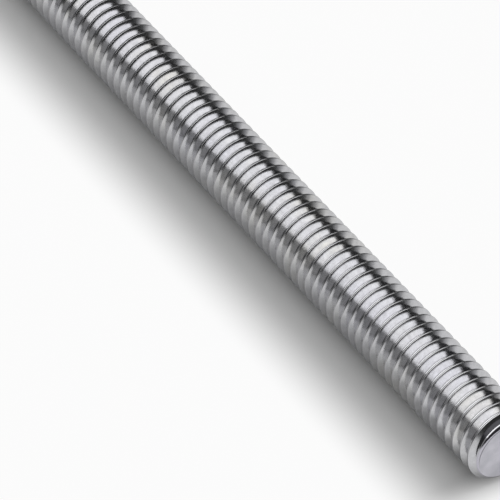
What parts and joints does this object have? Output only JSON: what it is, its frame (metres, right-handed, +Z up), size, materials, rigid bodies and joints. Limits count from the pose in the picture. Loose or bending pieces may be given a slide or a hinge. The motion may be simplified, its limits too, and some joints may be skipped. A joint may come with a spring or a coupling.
{
  "type": "threaded rod",
  "caption": "Straight steel rod, fully threaded: a right-hand 60 degree coarse thread from end to end, with both ends cut square and chamfered.",
  "frame": {"origin": "centre of the rod, on its axis and halfway along it", "axes": "X along the rod's axis, Z up with the rod lying on its side"},
  "size_m": [0.1142, 0.0096, 0.0096],
  "materials": {
    "steel": "bright rolled thread with fine marks along the helix, and sawn, lightly ground ends"
  },
  "bodies": {
    "root": {"rod": "steel"}
  },
  "joints": []
}
